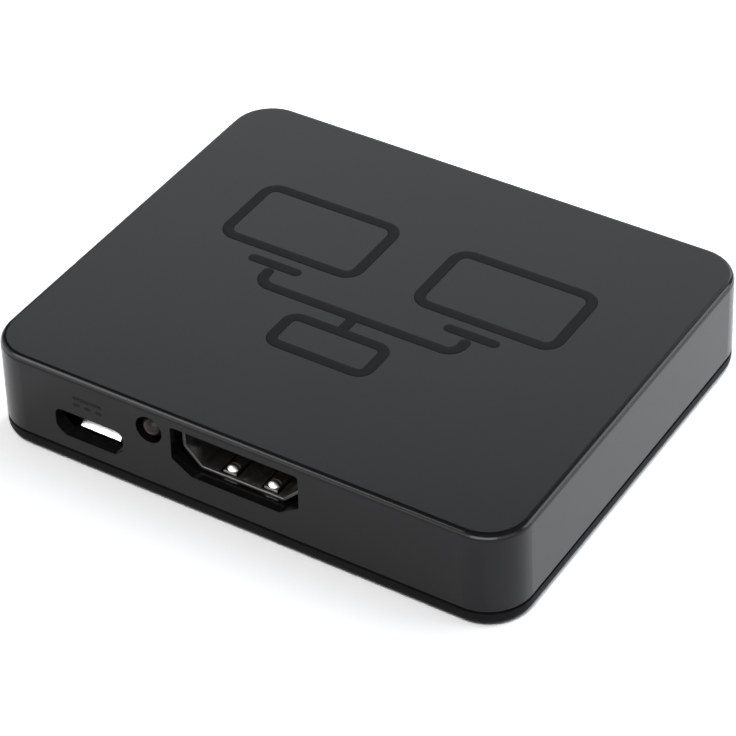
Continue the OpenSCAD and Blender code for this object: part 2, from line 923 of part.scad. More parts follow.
module output_2_socket_contacts() {
    color([0.85, 0.68, 0.3])
        at_output(-1)
            video_contacts();
}

// Mounting legs of the power inlet, widened by play for their slots in the board
module power_legs(play = 0) {
    for (sx = [-1, 1])
        translate([
            sx * (power_w - power_sheet) / 2 - (power_sheet + play) / 2,
            power_leg_y - play / 2,
            leg_end - play
        ])
            cube([
                power_sheet + play,
                leg_w + play,
                power_lift + power_slant_h + power_bend_r - leg_end + play
            ]);
}

// Section of a flared lip: from the shell's edge at (flare_len, 0) out to the mouth
module flare_section() {
    polygon([
        [flare_len, 0],
        [flare_len, power_sheet],
        [0, power_sheet - flare_out],
        [0, -flare_out]
    ]);
}

module power_inlet_shell() {
    outer = rounded(socket_outline(power_w, power_h, power_base_w, power_slant_h, 0, 0), power_bend_r);
    inner = rounded(
        inset_outline(power_w, power_h, power_base_w, power_slant_h, power_sheet),
        power_bend_r - power_sheet
    );
    side_z = power_lift + power_slant_h + power_bend_r;
    side_h = power_top - power_bend_r - side_z;
    color([0.8, 0.8, 0.82])
        at_power() {
            translate([0, 0, power_lift])
                along_y(flare_len, power_end)
                    difference() {
                        polygon(outer);
                        polygon(inner);
                    }
            power_legs();
            translate([0, 0, power_lift])
                across_x(power_base_w - 2 * power_bend_r)
                    flare_section();
            translate([0, 0, power_top])
                mirror([0, 0, 1])
                    across_x(power_w - 2 * power_bend_r)
                        flare_section();
            for (side = [0, 1])
                mirror([side, 0, 0])
                    translate([power_w / 2, 0, side_z + side_h / 2])
                        rotate([0, -90, 0])
                            across_x(side_h)
                                flare_section();
        }
}

module power_contact_rows() {
    contact_row(
        power_contacts, power_pitch, power_tongue_base - contact_proud,
        flare_len + 2 * contact_w, power_end, power_tail
    );
}

module power_inlet_insulator() {
    block_y = power_end - power_block_len;
    color([0.08, 0.08, 0.08])
        at_power()
            difference() {
                union() {
                    translate([0, 0, power_lift])
                        along_y(block_y, power_end)
                            polygon(rounded(
                                inset_outline(
                                    power_w, power_h, power_base_w, power_slant_h,
                                    power_sheet + insulator_play
                                ),
                                power_bend_r - power_sheet
                            ));
                    translate([-power_tongue_w / 2, flare_len, power_tongue_base])
                        cube([power_tongue_w, block_y + fuse - flare_len, power_tongue_t]);
                }
                power_contact_rows();
            }
}

module power_inlet_contacts() {
    color([0.85, 0.68, 0.3])
        at_power()
            power_contact_rows();
}

// Copies its child to the two leads of the indicator
module lead_places() {
    for (sx = [-1, 1])
        translate([sx * lead_pitch / 2 - led_x, 0, 0])
            children();
}

module indicator_lens() {
    color([0.42, 0.16, 0.12])
        translate([-led_x, led_back_y, led_z])
            rotate([90, 0, 0])
                rotate_extrude() {
                    square([led_flange_d / 2, led_flange_t]);
                    square([led_d / 2, led_len - led_d / 2]);
                    translate([0, led_len - led_d / 2])
                        intersection() {
                            circle(led_d / 2);
                            square(led_d);
                        }
                }
}

module indicator_leads() {
    bend = lead_bend_r + lead_t;
    drop_top = led_z + lead_t / 2 - bend;
    color([0.75, 0.75, 0.76])
        lead_places() {
            translate([0, led_back_y, drop_top])
                rotate([90, 0, 90])
                    translate([0, 0, -lead_t / 2])
                        rotate_extrude(angle = 90)
                            translate([lead_bend_r, 0])
                                square(lead_t);
            translate([-lead_t / 2, lead_y - lead_t, board_z - leg_out])
                cube([lead_t, lead_t, drop_top - board_z + leg_out]);
        }
}

// Lead of a chip, from the body's side out and down to the board
module chip_lead(w) {
    shoulder = chip_lift + chip_t / 2;
    across_x(w)
        polygon([
            [0, shoulder],
            [chip_knee, shoulder],
            [chip_knee, 0],
            [chip_reach, 0],
            [chip_reach, chip_lead_t],
            [chip_knee + chip_lead_t, chip_lead_t],
            [chip_knee + chip_lead_t, shoulder + chip_lead_t],
            [0, shoulder + chip_lead_t]
        ]);
}

// Moulded body of a chip with a round mark in one corner
module chip_body(l, w) {
    mark_d = w / 8;
    difference() {
        translate([-l / 2, -w / 2, board_top + chip_lift])
            cube([l, w, chip_t]);
        translate([mark_d - l / 2, mark_d - w / 2, board_top + chip_lift + chip_t - chip_lead_t])
            cylinder(d = mark_d, h = chip_t);
    }
}

// Row of leads along the side of a chip that is w deep, on its +Y side
module lead_row(count, pitch, lead_w, w) {
    for (k = [0 : count - 1])
        translate([(k - (count - 1) / 2) * pitch, w / 2, board_top])
            chip_lead(lead_w);
}

module splitter_chip() {
    color([0.12, 0.12, 0.13])
        chip_body(chip_w, chip_w);
}

module splitter_chip_leads() {
    color([0.75, 0.75, 0.76])
        for (turn = [0 : 90 : 270])
            rotate(turn)
                lead_row(chip_leads, chip_pitch, chip_lead_w, chip_w);
}

module control_chip() {
    color([0.12, 0.12, 0.13])
        translate(control_place)
            chip_body(control_l, control_w);
}

module control_chip_leads() {
    leads_per_side = 4;
    color([0.75, 0.75, 0.76])
        translate(control_place)
            for (turn = [0, 180])
                rotate(turn)
                    lead_row(leads_per_side, control_pitch, control_lead_w, control_w);
}

module voltage_regulator() {
    color([0.12, 0.12, 0.13])
        translate(regulator_place)
            chip_body(regulator_l, regulator_w);
}

module voltage_regulator_leads() {
    lead_count = 3;
    color([0.75, 0.75, 0.76])
        translate(regulator_place) {
            lead_row(lead_count, regulator_pitch, regulator_lead_w, regulator_w);
            rotate(180)
                lead_row(1, 0, regulator_tab_w, regulator_w);
        }
}

// Crystal in a drawn metal can with round ends and a seam flange
module crystal_can() {
    flange = 0.4;
    color([0.78, 0.78, 0.8])
        translate([crystal_place.x, crystal_place.y, board_top + chip_lead_t]) {
            plain_block(crystal_l, crystal_w, flange, crystal_w / 2 - flange / 2);
            translate([0, 0, flange])
                plain_block(
                    crystal_l - 2 * flange, crystal_w - 2 * flange, crystal_h - flange,
                    crystal_w / 2 - 1.5 * flange
                );
        }
}

module crystal_pads() {
    pad_l = crystal_l / 4;
    pad_w = crystal_w / 6;
    color([0.75, 0.75, 0.76])
        for (sx = [-1, 1])
            translate([
                crystal_place.x + sx * (crystal_l - pad_l) / 2 - pad_l / 2,
                crystal_place.y - pad_w / 2,
                board_top
            ])
                cube([pad_l, pad_w, chip_lead_t]);
}

module bulk_capacitors() {
    color([0.75, 0.55, 0.15])
        for (place = bulk_places)
            translate([place.x - bulk_l / 2, place.y - bulk_w / 2, board_top + chip_lead_t])
                cube([bulk_l, bulk_w, bulk_h]);
}

// Folded end strips that bulk capacitors stand on
module bulk_capacitor_terminals() {
    strip_w = bulk_w * 0.75;
    strip_l = bulk_l * 0.25;
    color([0.75, 0.75, 0.76])
        for (place = bulk_places, turn = [0, 180])
            translate([place.x, place.y, board_top])
                rotate(turn)
                    rotate([90, 0, 0])
                        linear_extrude(strip_w, center = true)
                            polygon([
                                [bulk_l / 2 - strip_l, 0],
                                [bulk_l / 2 + chip_lead_t, 0],
                                [bulk_l / 2 + chip_lead_t, bulk_h / 2],
                                [bulk_l / 2, bulk_h / 2],
                                [bulk_l / 2, chip_lead_t],
                                [bulk_l / 2 - strip_l, chip_lead_t]
                            ]);
}

// Copies its child to each small capacitor, in a row on the left and right of the splitter chip
module at_small_capacitors() {
    for (sx = [-1, 1], k = [0 : capacitors_per_side - 1])
        translate([sx * capacitor_x, (k - (capacitors_per_side - 1) / 2) * small_pitch, board_top])
            children();
}

// Copies its child to each resistor, in a row in front of each output socket
module at_resistors() {
    for (side = [-1, 1], k = [0 : resistors_per_output - 1])
        translate([
            side * output_x + (k - (resistors_per_output - 1) / 2) * small_pitch,
            video_mouth_y - resistor_y,
            board_top
        ])
            rotate(90)
                children();
}

// Middle of a small part, between its end caps
module small_part_body(h) {
    translate([small_l * cap_share - small_l / 2, -small_w / 2, 0])
        cube([small_l * (1 - 2 * cap_share), small_w, h]);
}

// Tinned caps at both ends of a small part
module small_part_caps(h) {
    cap_l = small_l * cap_share;
    for (from = [-small_l / 2, small_l / 2 - cap_l])
        translate([from, -small_w / 2, 0])
            cube([cap_l, small_w, h]);
}

module small_capacitors() {
    color([0.6, 0.48, 0.35])
        at_small_capacitors()
            small_part_body(capacitor_h);
}

module resistors() {
    color([0.1, 0.1, 0.1])
        at_resistors()
            small_part_body(resistor_h);
}

module small_part_end_caps() {
    color([0.75, 0.75, 0.76]) {
        at_small_capacitors()
            small_part_caps(capacitor_h);
        at_resistors()
            small_part_caps(resistor_h);
    }
}

// Surge protectors, two behind each video socket
module surge_protectors() {
    color([0.12, 0.12, 0.13])
        at_video_sockets()
            for (sx = [-1, 1])
                translate([sx * surge_pitch / 2 - surge_l / 2, surge_y - surge_w / 2, 0])
                    cube([surge_l, surge_w, surge_h]);
}

top_shell();
bottom_cover();
circuit_board();
board_screws();
input_socket_shell();
input_socket_insulator();
input_socket_contacts();
output_1_socket_shell();
output_1_socket_insulator();
output_1_socket_contacts();
output_2_socket_shell();
output_2_socket_insulator();
output_2_socket_contacts();
power_inlet_shell();
power_inlet_insulator();
power_inlet_contacts();
indicator_lens();
indicator_leads();
splitter_chip();
splitter_chip_leads();
control_chip();
control_chip_leads();
voltage_regulator();
voltage_regulator_leads();
crystal_can();
crystal_pads();
bulk_capacitors();
bulk_capacitor_terminals();
small_capacitors();
resistors();
small_part_end_caps();
surge_protectors();
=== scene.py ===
import bpy
import numpy as np
from mathutils import Matrix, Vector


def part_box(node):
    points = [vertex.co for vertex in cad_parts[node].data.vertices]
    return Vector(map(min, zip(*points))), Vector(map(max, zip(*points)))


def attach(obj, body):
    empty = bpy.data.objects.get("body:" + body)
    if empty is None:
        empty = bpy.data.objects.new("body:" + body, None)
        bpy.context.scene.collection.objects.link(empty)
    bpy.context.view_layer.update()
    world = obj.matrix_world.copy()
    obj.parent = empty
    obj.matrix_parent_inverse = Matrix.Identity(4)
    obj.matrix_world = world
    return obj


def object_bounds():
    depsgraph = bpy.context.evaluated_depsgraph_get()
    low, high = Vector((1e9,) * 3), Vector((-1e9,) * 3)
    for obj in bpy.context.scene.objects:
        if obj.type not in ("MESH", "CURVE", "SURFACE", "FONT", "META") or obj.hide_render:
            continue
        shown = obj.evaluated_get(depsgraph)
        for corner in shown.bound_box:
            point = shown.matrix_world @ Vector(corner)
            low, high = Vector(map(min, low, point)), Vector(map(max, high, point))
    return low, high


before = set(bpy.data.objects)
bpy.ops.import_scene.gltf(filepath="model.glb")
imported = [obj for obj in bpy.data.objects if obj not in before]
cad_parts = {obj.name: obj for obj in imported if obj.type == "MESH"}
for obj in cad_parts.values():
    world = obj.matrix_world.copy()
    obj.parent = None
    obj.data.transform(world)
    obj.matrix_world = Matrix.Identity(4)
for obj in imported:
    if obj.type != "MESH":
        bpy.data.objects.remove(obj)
cad_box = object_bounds()

# The view: a long lens a third of a metre away, above and right of the front with the input socket.
# Angles are in degrees and distances in metres; the picture is square.
azimuth, elevation, roll = np.radians([33.08, 39.26, -1.95])
distance, shift_right, shift_up = 0.3247, -0.0004, -0.00246
focal_pixels, picture_pixels, sensor_mm = 2970.8, 736, 36.0
aim = np.array([0.0, 0.0, 0.0061])
back = np.array([
    np.sin(azimuth) * np.cos(elevation),
    -np.cos(azimuth) * np.cos(elevation),
    np.sin(elevation),
])
level = np.array([np.cos(azimuth), np.sin(azimuth), 0.0])
upright = np.cross(back, level)
right = level * np.cos(roll) + upright * np.sin(roll)
up = upright * np.cos(roll) - level * np.sin(roll)
eye = aim + back * distance + right * shift_right + up * shift_up


def placed(axes, spot):
    """The matrix of a camera or lamp at that spot, whose right, upward and backward axes are given."""
    return Matrix([*np.array([*axes, spot]).T.tolist(), [0, 0, 0, 1]])


camera = bpy.data.objects.new("camera", bpy.data.cameras.new("camera"))
camera.data.sensor_width = sensor_mm
camera.data.lens = focal_pixels / picture_pixels * sensor_mm
camera.data.clip_start = 0.01
camera.matrix_world = placed([right, up, back], eye)
bpy.context.scene.collection.objects.link(camera)
bpy.context.scene.camera = camera
bpy.context.scene.view_settings.view_transform = "Standard"


# The bottom cover is a shallow tray moulded in matt black plastic, with a lip and four clips
# that snap into the top shell. Its outside has the dull, open grain of a spark-eroded mould.
class Wire:
    """A node socket. Arithmetic on it adds Math nodes, and node() adds a node of any other type."""

    def __init__(self, tree, socket=None):
        self.tree = tree
        self.socket = socket

    def node(self, kind, settings, sockets, output=0):
        """Adds a node: its settings first, then its sockets' values or links. Gives the chosen output."""
        made = self.tree.nodes.new(kind)
        for key, value in settings.items():
            setattr(made, key, value)
        for key, value in sockets.items():
            named = [s for s in made.inputs if s.enabled and s.name == key]
            socket = made.inputs[key] if isinstance(key, int) else named[0]
            if isinstance(value, Wire):
                self.tree.links.new(value.socket, socket)
            else:
                socket.default_value = value
        shown = [s for s in made.outputs if s.enabled]
        picked = [s for i, s in enumerate(shown) if output in (i, s.name)]
        return Wire(self.tree, picked[0] if picked else None)

    def math(self, operation, first, second=0.0):
        return self.node("ShaderNodeMath", {"operation": operation}, {0: first, 1: second})

    def __add__(self, other):
        return self.math("ADD", self, other)

    __radd__ = __add__

    def __mul__(self, other):
        return self.math("MULTIPLY", self, other)

    __rmul__ = __mul__

    def __sub__(self, other):
        return self.math("SUBTRACT", self, other)

    def __rsub__(self, other):
        return self.math("SUBTRACT", other, self)

    def __gt__(self, other):
        return self.math("GREATER_THAN", self, other)

    def __abs__(self):
        return self.math("ABSOLUTE", self)

    def part(self, axis):
        """This vector's X, Y or Z."""
        return self.node("ShaderNodeSeparateXYZ", {}, {"Vector": self}, axis)

    def stretch(self, *scale):
        """This place, scaled along each axis: a pattern on it runs longer where the scale is smaller."""
        return self.node("ShaderNodeMapping", {}, {"Vector": self, "Scale": scale})

    def blend(self, low, high):
        """The colour that runs from low, where this value is 0, to high, where it is 1."""
        ends = [c if isinstance(c, Wire) else (*c, 1.0) for c in (low, high)]
        sockets = {"Factor": self, "A": ends[0], "B": ends[1]}
        return self.node("ShaderNodeMix", {"data_type": "RGBA"}, sockets)

    def noise(self, cell, detail=2.0):
        """Cloudy noise between 0 and 1 over a place, in cells of that many metres."""
        return self.node("ShaderNodeTexNoise", {}, {"Vector": self, "Scale": 1 / cell, "Detail": detail})

    def ease(self, low, high):
        """A smooth step of this value: 0 at low and before it, 1 at high and past it."""
        sockets = {"Value": self, "From Min": low, "From Max": high}
        return self.node("ShaderNodeMapRange", {"interpolation_type": "SMOOTHSTEP"}, sockets)

    def bump(self, height, strength):
        """The surface's normal, tilted by this value as relief of that height in metres."""
        sockets = {"Height": self, "Distance": height, "Strength": strength}
        return self.node("ShaderNodeBump", {}, sockets)


def new_finish(name):
    """An empty material, and the piece's own place in metres as the Wire that its nodes start from."""
    finish = bpy.data.materials.new(name)
    finish.use_nodes = True
    finish.node_tree.nodes.clear()
    return finish, Wire(finish.node_tree).node("ShaderNodeTexCoord", {}, {}, "Object")


def surface(place, sockets):
    """Ends a material in one Principled shader with those sockets."""
    shader = place.node("ShaderNodeBsdfPrincipled", {}, sockets)
    place.node("ShaderNodeOutputMaterial", {}, {"Surface": shader})


def dress(finish, *nodes):
    """Gives a finish to CAD nodes."""
    for node in nodes:
        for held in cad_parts[node].material_slots:
            held.material = finish


cover_dark, cover_light = (0.01, 0.01, 0.0105), (0.022, 0.022, 0.023)
grain_cell, flow_cell, grain_height = 0.0003, 0.009, 0.00002
cover_finish, place = new_finish("dull_black_moulding")
grain = place.noise(grain_cell)
flow = place.noise(flow_cell, 3.0)
surface(place, {
    "Base Color": (grain * 0.6 + flow * 0.4).blend(cover_dark, cover_light),
    "Roughness": 0.4 + (grain - 0.5) * 0.14 + (flow - 0.5) * 0.08,
    "IOR": 1.26,
    "Specular IOR Level": 0.05,
    "Normal": grain.bump(grain_height, 0.4),
})
dress(cover_finish, "bottom_cover")

# The circuit board is glass-fibre laminate under black solder mask, with copper tracks showing
# through as a browner black. It carries every socket and hangs from the top shell by four screws.
over_copper, between_tracks = (0.016, 0.013, 0.009), (0.004, 0.0045, 0.0045)
track_cell, track_half, track_height, weave_cell = 0.0024, 0.12, 0.00003, 0.0005
board_finish, place = new_finish("black_solder_mask")
from_track = place.node(
    "ShaderNodeTexVoronoi",
    {"feature": "DISTANCE_TO_EDGE", "voronoi_dimensions": "2D"},
    {"Vector": place, "Scale": 1 / track_cell, "Randomness": 0.7},
)
between = from_track > track_half
weave = place.noise(weave_cell)
surface(place, {
    "Base Color": (between * 0.75 + weave * 0.25).blend(over_copper, between_tracks),
    "Roughness": 0.28 + weave * 0.14,
    "Normal": (1 - between).bump(track_height, 0.4),
})
dress(board_finish, "circuit_board")

# The four board screws are rolled steel with bright zinc plating, driven up into the shell's bosses.
# The plating is faintly cloudy, and the thread part has fine turning marks.
zinc_grey, zinc_bright = (0.5, 0.51, 0.54), (0.66, 0.66, 0.67)
zinc_cell, turning_scale, turning_height = 0.0007, 700.0, 0.00004
screw_finish, place = new_finish("zinc_plated_steel")
cloud = place.noise(zinc_cell, 3.0)
turned = place.node("ShaderNodeTexWave", {"bands_direction": "Z"},
                    {"Vector": place, "Scale": turning_scale})
surface(place, {
    "Base Color": cloud.blend(zinc_grey, zinc_bright),
    "Metallic": 1.0,
    "Roughness": 0.24 + cloud * 0.18,
    "Normal": turned.bump(turning_height, 0.4),
})
dress(screw_finish, "board_screws")

# The chips and surge protectors are transfer-moulded in black resin filled with silica,
# so their faces are dull and finely speckled.
resin_dark, resin_light = (0.008, 0.008, 0.009), (0.03, 0.03, 0.032)
speck_cell, cast_cell, speck_height = 0.00009, 0.002, 0.00001
resin_finish, place = new_finish("black_chip_resin")
speck = place.noise(speck_cell)
cast = place.noise(cast_cell)
surface(place, {
    "Base Color": speck.blend(resin_dark, resin_light),
    "Roughness": 0.5 + (cast - 0.5) * 0.2,
    "Normal": speck.bump(speck_height, 0.4),
})
dress(resin_finish, "splitter_chip", "control_chip", "voltage_regulator", "surge_protectors")

# Leads, pads, terminals and end caps are copper alloy under a reflowed tin coat,
# bright where the solder ran and greyer in patches.
tin_grey, tin_bright = (0.46, 0.46, 0.47), (0.72, 0.72, 0.71)
patch_cell, patch_height = 0.0004, 0.00002
tin_finish, place = new_finish("reflowed_tin")
patch = place.noise(patch_cell, 3.0)
surface(place, {
    "Base Color": patch.blend(tin_grey, tin_bright),
    "Metallic": 1.0,
    "Roughness": 0.2 + patch * 0.25,
    "Normal": patch.bump(patch_height, 0.3),
})
dress(
    tin_finish, "splitter_chip_leads", "control_chip_leads", "voltage_regulator_leads", "crystal_pads",
    "bulk_capacitor_terminals", "small_part_end_caps", "indicator_leads",
)

# The crystal's can is drawn from thin nickel-silver sheet and resistance-welded to its base,
# with draw lines that run round it.
can_dark, can_light, draw_scale = (0.52, 0.51, 0.49), (0.66, 0.65, 0.62), 900.0
can_finish, place = new_finish("drawn_nickel_silver")
drawn = place.node("ShaderNodeTexWave", {"bands_direction": "Z"},
                   {"Vector": place, "Scale": draw_scale, "Distortion": 3.0, "Detail": 2.0})
surface(place, {
    "Base Color": drawn.blend(can_dark, can_light),
    "Metallic": 1.0,
    "Roughness": 0.22 + drawn * 0.12,
})
dress(can_finish, "crystal_can")

# Bulk capacitors are tantalum pellets moulded in ochre resin, which is filled and finely speckled.
# They are soldered to the board by folded terminals at both ends.
ochre_dark, ochre_light = (0.42, 0.2, 0.02), (0.56, 0.3, 0.04)
ochre_cell, ochre_height = 0.00012, 0.00001
tantalum_finish, place = new_finish("ochre_resin")
speck = place.noise(ochre_cell)
surface(place, {
    "Base Color": speck.blend(ochre_dark, ochre_light),
    "Roughness": 0.4 + speck * 0.16,
    "Normal": speck.bump(ochre_height, 0.4),
})
dress(tantalum_finish, "bulk_capacitors")

# Small capacitors are fired ceramic, tan and slightly waxy; resistors have a black glazed coat
# over their white ceramic.
tan_dark, tan_light, fired_cell = (0.22, 0.13, 0.07), (0.34, 0.22, 0.13), 0.0002
ceramic_finish, place = new_finish("tan_ceramic")
fired = place.noise(fired_cell)
surface(place, {
    "Base Color": fired.blend(tan_dark, tan_light),
    "Roughness": 0.42 + fired * 0.14,
})
dress(ceramic_finish, "small_capacitors")
glaze_dark, glaze_light, glaze_cell = (0.006, 0.006, 0.007), (0.016, 0.016, 0.018), 0.0003
coat_finish, place = new_finish("black_glaze")
glaze = place.noise(glaze_cell)
surface(place, {
    "Base Color": glaze.blend(glaze_dark, glaze_light),
    "Roughness": 0.22 + glaze * 0.14,
})
dress(coat_finish, "resistors")

# The video sockets' shells are folded from thin steel sheet that was nickel plated before it was cut.
# Rolling left fine lines along the socket, and the cut edge round the mouth is bare and dull.
# Faces that tilt towards the mouth or the back, the domes of the spring fingers most of all, are rougher,
# and are painted near-white as a painted highlight that widens their reflections into white spots.
nickel_dark, nickel_light = (0.46, 0.45, 0.44), (0.58, 0.57, 0.56)
highlight_white, cut_steel = (0.95, 0.94, 0.92), (0.1, 0.097, 0.094)
line_cell, line_scale, line_height, nickel_cell = 0.00012, 0.06, 0.000002, 0.0015
cut_depth, dome_and_highlight_tilt = 0.0001, (0.12, 0.4)
shell_finish, place = new_finish("nickel_plated_sheet")
lines = place.stretch(1.0, line_scale, 1.0).noise(line_cell, 3.0)
cloud = place.noise(nickel_cell)
bare = abs(place.part("Y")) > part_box("output_1_socket_shell")[1].y - cut_depth
facing = place.node("ShaderNodeNewGeometry", {}, {}, "Normal")
# Painted highlight: faces that lean towards the mouth or the back are painted near-white here, and made
# rougher.
dome_and_highlight = abs(facing.part("Y")).ease(*dome_and_highlight_tilt) * (1 - bare)
plating_with_highlight = dome_and_highlight.blend(cloud.blend(nickel_dark, nickel_light), highlight_white)
surface(place, {
    "Base Color": bare.blend(plating_with_highlight, cut_steel),
    "Metallic": 1.0,
    "Roughness": 0.2 + (lines - 0.5) * 0.08 + cloud * 0.08 + bare * 0.3 + dome_and_highlight * 0.24,
    "Normal": lines.bump(line_height, 0.2),
})
dress(shell_finish, "input_socket_shell", "output_1_socket_shell", "output_2_socket_shell")

# The power inlet's shell is drawn and folded from thinner sheet under bright tin, with its mouth
# flared outwards to guide a plug. The tin is smooth, with faint clouds from reflow.
inlet_grey, inlet_bright, reflow_cell = (0.8, 0.8, 0.79), (0.9, 0.9, 0.89), 0.0011
inlet_finish, place = new_finish("bright_tinned_sheet")
cloud = place.noise(reflow_cell)
surface(place, {
    "Base Color": cloud.blend(inlet_grey, inlet_bright),
    "Metallic": 1.0,
    "Roughness": 0.2 + cloud * 0.08,
})
dress(inlet_finish, "power_inlet_shell")

# The insulators are moulded in black glass-filled polymer: block and tongue in one piece,
# dull, with faint flow streaks along the tongue.
polymer_dark, polymer_light = (0.006, 0.006, 0.0065), (0.016, 0.016, 0.017)
streak_cell, streak_scale, streak_height = 0.0002, 0.15, 0.000008
insulator_finish, place = new_finish("black_glass_filled_polymer")
streak = place.stretch(1.0, streak_scale, 1.0).noise(streak_cell, 3.0)
surface(place, {
    "Base Color": streak.blend(polymer_dark, polymer_light),
    "Roughness": 0.46 + (streak - 0.5) * 0.2,
    "Normal": streak.bump(streak_height, 0.3),
})
dress(
    insulator_finish, "input_socket_insulator", "output_1_socket_insulator", "output_2_socket_insulator",
    "power_inlet_insulator",
)

# The contacts are stamped phosphor bronze with a thin gold plating, pressed into the insulators'
# tongues and soldered to the board at their tails. Plugs have wiped the plating a little uneven.
gold_dark, gold_light, wipe_cell = (0.72, 0.48, 0.16), (0.86, 0.62, 0.26), 0.0005
contact_finish, place = new_finish("gold_plated_bronze")
wipe = place.noise(wipe_cell, 3.0)
surface(place, {
    "Base Color": wipe.blend(gold_dark, gold_light),
    "Metallic": 1.0,
    "Roughness": 0.18 + wipe * 0.16,
})
dress(
    contact_finish, "input_socket_contacts", "output_1_socket_contacts", "output_2_socket_contacts",
    "power_inlet_contacts",
)

# The indicator's lens is cast in red-brown tinted epoxy round its two leads, which hold it to the
# board behind a round hole. It is glossy outside and a little cloudy inside.
lens_dark, lens_light, haze_cell = (0.011, 0.0045, 0.004), (0.024, 0.011, 0.01), 0.0009
lens_finish, place = new_finish("tinted_epoxy")
haze = place.noise(haze_cell)
surface(place, {
    "Base Color": haze.blend(lens_dark, lens_light),
    "Roughness": 0.2 + haze * 0.1,
    "IOR": 1.32,
})
dress(lens_finish, "indicator_lens")

# The top shell is one moulding: roof, four leaning walls and the cut-outs for the sockets.
# Its mould was blasted finer than the cover's, so it has a satin skin with a faint flow pattern,
# and the blasting stopped short of the rounded top edge, which is glossier.
skin_dark, skin_light = (0.003, 0.003, 0.0033), (0.007, 0.007, 0.0076)
skin_cell, skin_flow_cell, skin_height = 0.00022, 0.012, 0.000012
edge_r, roof_z = 0.00075, cad_box[1].z
edge_from, edge_to = (0.35, 0.55), (0.97, 0.9)
shell_skin, place = new_finish("satin_black_moulding")
grain = place.noise(skin_cell)
flow = place.noise(skin_flow_cell, 3.0)
upward = place.node("ShaderNodeNewGeometry", {}, {}, "Normal").part("Z")
edge = upward.ease(*edge_from) * upward.ease(*edge_to) * (place.part("Z") > roof_z - edge_r)
surface(place, {
    "Base Color": (grain * 0.6 + flow * 0.4).blend(skin_dark, skin_light),
    "Roughness": 0.24 + (grain - 0.5) * 0.1 + (flow - 0.5) * 0.06,
    "IOR": 1.29,
    "Normal": grain.bump(skin_height, 0.3),
    "Coat Weight": edge,
    "Coat Roughness": 0.16,
})
dress(shell_skin, "top_shell")

# The roof's marks are strokes of coarser etching in the mould, so they look deeper black than the
# grain round them. They draw one source, joined by a line to two screens on their stands.
etch_dark, etch_light = (0.003, 0.003, 0.0033), (0.008, 0.008, 0.0086)
etch_cell, etch_height = 0.00016, 0.00003
mm, line_w, relief = 0.001, 1.3, 0.02
least_rows, rows_per_width, ring_points, corner_points, arc_points = 24, 4, 12, 9, 15
etched_finish, place = new_finish("etched_black_moulding")
etch = place.noise(etch_cell)
surface(place, {
    "Base Color": etch.blend(etch_dark, etch_light),
    "Roughness": 0.55 + (etch - 0.5) * 0.2,
    "Normal": etch.bump(etch_height, 0.4),
    "Specular IOR Level": 0.14,
})


def stroke(path, width, relief, closed=False):
    """A strip along a path of points in the plane: at each point the section is a flattened oval,
    width across and relief high. An open strip's section shrinks to a point at both ends, as the root
    of the distance left, which rounds them; a closed one comes back to its first section."""
    path = np.asarray(path, float)
    run = np.concatenate([[0.0], np.cumsum(np.hypot(*np.diff(path, axis=0).T))])
    count = max(least_rows, int(run[-1] / width * rows_per_width))
    even = np.linspace(0, 1, count, endpoint=not closed)
    along = run[-1] * (even if closed else (1 - np.cos(np.pi * even)) / 2)
    line = np.stack([np.interp(along, run, path[:, 0]), np.interp(along, run, path[:, 1])], -1)
    around = np.roll(line, -1, axis=0) - np.roll(line, 1, axis=0)
    heading = around if closed else np.gradient(line, axis=0)
    heading = heading / np.hypot(*heading.T)[:, None]
    side = np.stack([-heading[:, 1], heading[:, 0]], -1)
    left = np.full(count, width) if closed else np.minimum(along, run[-1] - along)
    full = np.sqrt(1 - np.clip(1 - left / (width / 2), 0, 1) ** 2)[:, None]
    turn = np.linspace(0, 2 * np.pi, ring_points, endpoint=False)
    across = full * width / 2 * np.cos(turn)
    height = full * relief * np.sign(np.sin(turn)) * np.abs(np.sin(turn)) ** 0.5
    strip = np.concatenate([line[:, None] + side[:, None] * across[..., None], height[..., None]], -1)
    return np.concatenate([strip, strip[:1]]) if closed else strip


def rounded_box(x, y, w, h, r):
    """A closed path round a box of that middle and size, with corner arcs of radius r, from the middle
    of its lower side and back to it."""
    turn = np.linspace(-np.pi / 2, 0, corner_points)
    corner = np.stack([np.cos(turn), np.sin(turn)], -1) * r
    quarter = np.array([[0, -1], [1, 0]])
    far_x, far_y = w / 2 - r, h / 2 - r
    centres = np.array([[far_x, -far_y], [far_x, far_y], [-far_x, far_y], [-far_x, -far_y]])
    arcs = [centre + corner @ np.linalg.matrix_power(quarter, k).T for k, centre in enumerate(centres)]
    start = np.array([[0.0, -h / 2]])
    return np.concatenate([start, *arcs, start]) + [x, y]


def arc(x, y, r, first, last):
    """Points on a circle of that middle and radius, from one angle to another in degrees."""
    turn = np.radians(np.linspace(first, last, arc_points))
    return np.stack([x + r * np.cos(turn), y + r * np.sin(turn)], -1)


